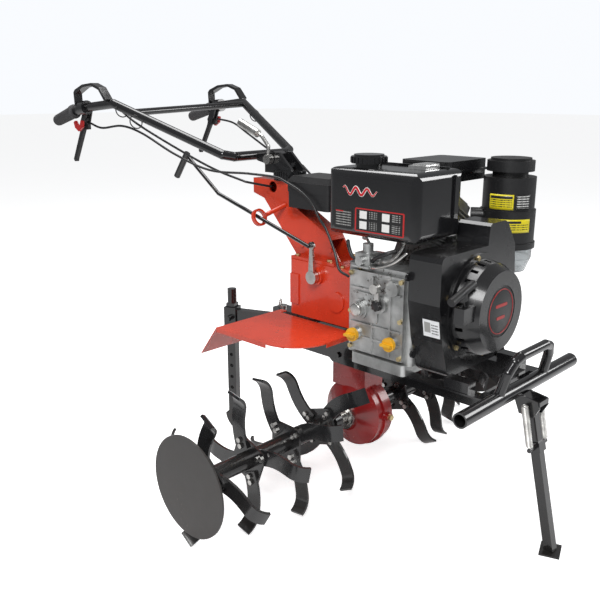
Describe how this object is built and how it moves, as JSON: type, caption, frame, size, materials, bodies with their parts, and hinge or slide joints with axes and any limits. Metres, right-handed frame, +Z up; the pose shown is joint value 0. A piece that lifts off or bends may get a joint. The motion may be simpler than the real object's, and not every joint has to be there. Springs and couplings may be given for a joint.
{
  "type": "rotary tiller",
  "caption": "Walk-behind rotary tiller with an air-cooled single-cylinder engine, gear-driven curved tines, a two-arm handlebar, fenders, depth bar and prop stand.",
  "frame": {"origin": "on the ground below the middle of the whole length, 211 mm behind the rotor axle", "axes": "+Z up, -Y towards the front of the machine, +X to the side away from the fuel tank"},
  "size_m": [1.136, 1.5872, 1.002],
  "materials": {
    "red_paint": "gloss enamel",
    "black_paint": "gloss enamel",
    "steel": "machined",
    "cast_alloy": "as cast",
    "rubber": "moulded",
    "plastic": "moulded",
    "red_plastic": "moulded",
    "yellow_plastic": "moulded",
    "clear_bowl": "clear moulded",
    "filter_foam": "open foam",
    "disc_steel": "worn dark paint",
    "plated": "zinc passivated"
  },
  "bodies": {
    "chassis": {"gearbox_case": "red_paint", "gearbox_lid": "red_paint", "clutch_housing": "red_paint", "hub_seals": "steel", "shaft_bearings": "steel", "crankcase": "cast_alloy", "side_cover": "cast_alloy", "cylinder_block": "cast_alloy", "cylinder_head": "cast_alloy", "rocker_cover": "cast_alloy", "fan_cowl": "black_paint", "starter_housing": "black_paint", "fuel_tank": "black_paint", "tank_strap": "steel", "air_cleaner": "plastic", "cleaner_bowl": "clear_bowl", "air_filter": "filter_foam", "muffler": "black_paint", "injection_pump": "cast_alloy", "fuel_pipes": "steel", "oil_plugs": "yellow_plastic", "case_bolts": "steel", "fender_plates": "red_paint", "fender_brackets": "black_paint", "steering_column": "red_paint", "toolbox": "plastic", "swivel_disc": "black_paint", "control_cables": "rubber", "front_frame": "black_paint", "hitch_bracket": "black_paint", "stand_springs": "steel"},
    "rotor": {"rotor_shaft": "steel", "hub_gear": "steel", "tine_tubes": "black_paint", "tines": "black_paint", "end_discs": "disc_steel", "tine_bolts": "steel"},
    "upright": {"upright_shaft": "steel"},
    "input": {"input_shaft": "steel"},
    "crank": {"crankshaft": "steel", "flywheel": "cast_alloy", "clutch_drum": "steel"},
    "starter_pull": {"starter_grip": "plastic"},
    "cap": {"tank_cap": "plastic"},
    "speed": {"speed_lever": "steel"},
    "lid": {"toolbox_lid": "plastic"},
    "swivel": {"tilt_bracket": "black_paint"},
    "bar": {"handlebar": "black_paint", "grips": "rubber"},
    "clamp": {"clamp_lever": "steel"},
    "near_lever": {"near_hand_lever": "plastic"},
    "far_lever": {"far_hand_lever": "plastic"},
    "near_lock": {"near_catch": "red_plastic"},
    "far_lock": {"far_catch": "red_plastic"},
    "arm": {"shift_arm": "steel"},
    "rod": {"shift_rod": "black_paint"},
    "stand": {"stand_leg": "black_paint"},
    "pin": {"hitch_pin": "steel"},
    "holder": {"drawbar_holder": "black_paint"},
    "depth": {"depth_bar": "black_paint"}
  },
  "joints": [
    {"name": "rotor_spin", "type": "hinge", "parent": "chassis", "child": "rotor", "pos_m": [0, -0.211, 0.17], "axis": [1, 0, 0], "continuous": true},
    {"name": "upright_spin", "type": "hinge", "parent": "chassis", "child": "upright", "pos_m": [0, -0.211, 0.4], "axis": [0, 0, 1], "continuous": true},
    {"name": "input_spin", "type": "hinge", "parent": "chassis", "child": "input", "pos_m": [0, -0.211, 0.519], "axis": [0, 1, 0], "continuous": true},
    {"name": "crank_spin", "type": "hinge", "parent": "chassis", "child": "crank", "pos_m": [0, -0.411, 0.519], "axis": [0, 1, 0], "continuous": true},
    {"name": "starter_pull", "type": "slide", "parent": "chassis", "child": "starter_pull", "axis": [-0.3, 0, 0.9539], "range_m": [0, 0.4], "stiffness_N_per_m": 30},
    {"name": "tank_cap_turn", "type": "hinge", "parent": "chassis", "child": "cap", "pos_m": [-0.095, -0.301, 0.83], "axis": [0, 0, 1], "range_deg": [0, 90]},
    {"name": "speed_lever_turn", "type": "hinge", "parent": "chassis", "child": "speed", "pos_m": [-0.153, -0.381, 0.52], "axis": [-1, 0, 0], "range_deg": [-20, 25]},
    {"name": "toolbox_open", "type": "hinge", "parent": "chassis", "child": "lid", "pos_m": [0.062, -0.075, 0.733], "axis": [0, 1, 0], "range_deg": [0, 100]},
    {"name": "handlebar_swing", "type": "hinge", "parent": "chassis", "child": "swivel", "pos_m": [0, 0.044, 0.77], "axis": [0, 0, 1], "range_deg": [-30, 30], "deforming": ["control_cables"]},
    {"name": "handlebar_tilt", "type": "hinge", "parent": "swivel", "child": "bar", "pos_m": [0, 0.089, 0.806], "axis": [1, 0, 0], "range_deg": [-8, 12], "deforming": ["control_cables"]},
    {"name": "clamp_turn", "type": "hinge", "parent": "swivel", "child": "clamp", "pos_m": [0, 0.089, 0.806], "axis": [1, 0, 0], "range_deg": [-15, 25]},
    {"name": "near_lever_pull", "type": "hinge", "parent": "bar", "child": "near_lever", "pos_m": [-0.24, 0.655, 0.884], "axis": [1, 0, 0], "range_deg": [0, 30], "stiffness_Nm_per_rad": 2, "springref_deg": -17.19},
    {"name": "far_lever_pull", "type": "hinge", "parent": "bar", "child": "far_lever", "pos_m": [0.24, 0.655, 0.884], "axis": [1, 0, 0], "range_deg": [0, 30], "stiffness_Nm_per_rad": 2, "springref_deg": -17.19},
    {"name": "near_catch_turn", "type": "hinge", "parent": "bar", "child": "near_lock", "pos_m": [-0.258, 0.655, 0.878], "axis": [1, 0, 0], "range_deg": [-20, 20]},
    {"name": "far_catch_turn", "type": "hinge", "parent": "bar", "child": "far_lock", "pos_m": [0.258, 0.655, 0.878], "axis": [1, 0, 0], "range_deg": [-20, 20]},
    {"name": "shift_arm_turn", "type": "hinge", "parent": "chassis", "child": "arm", "pos_m": [-0.075, -0.114, 0.526], "axis": [1, 0, 0], "range_deg": [-11, 11]},
    {"name": "shift_rod_turn", "type": "hinge", "parent": "arm", "child": "rod", "pos_m": [-0.083, -0.114, 0.608], "axis": [1, 0, 0], "range_deg": [-11, 11]},
    {"name": "stand_fold", "type": "hinge", "parent": "chassis", "child": "stand", "pos_m": [0, -0.691, 0.322], "axis": [-1, 0, 0], "range_deg": [0, 77], "deforming": ["stand_springs"]},
    {"name": "hitch_pin_lift", "type": "slide", "parent": "chassis", "child": "pin", "axis": [0, 0, 1], "range_m": [0, 0.14]},
    {"name": "holder_swing", "type": "hinge", "parent": "chassis", "child": "holder", "pos_m": [0, 0.074, 0.35], "axis": [0, 0, 1], "range_deg": [-45, 10]},
    {"name": "depth_bar_slide", "type": "slide", "parent": "holder", "child": "depth", "axis": [0, 0, 1], "range_m": [0, 0.12]}
  ],
  "couplings": [
    {"joint": "upright_spin", "follows": "rotor_spin", "ratio": -4},
    {"joint": "input_spin", "follows": "rotor_spin", "ratio": -8},
    {"joint": "shift_rod_turn", "follows": "shift_arm_turn", "ratio": -1}
  ]
}
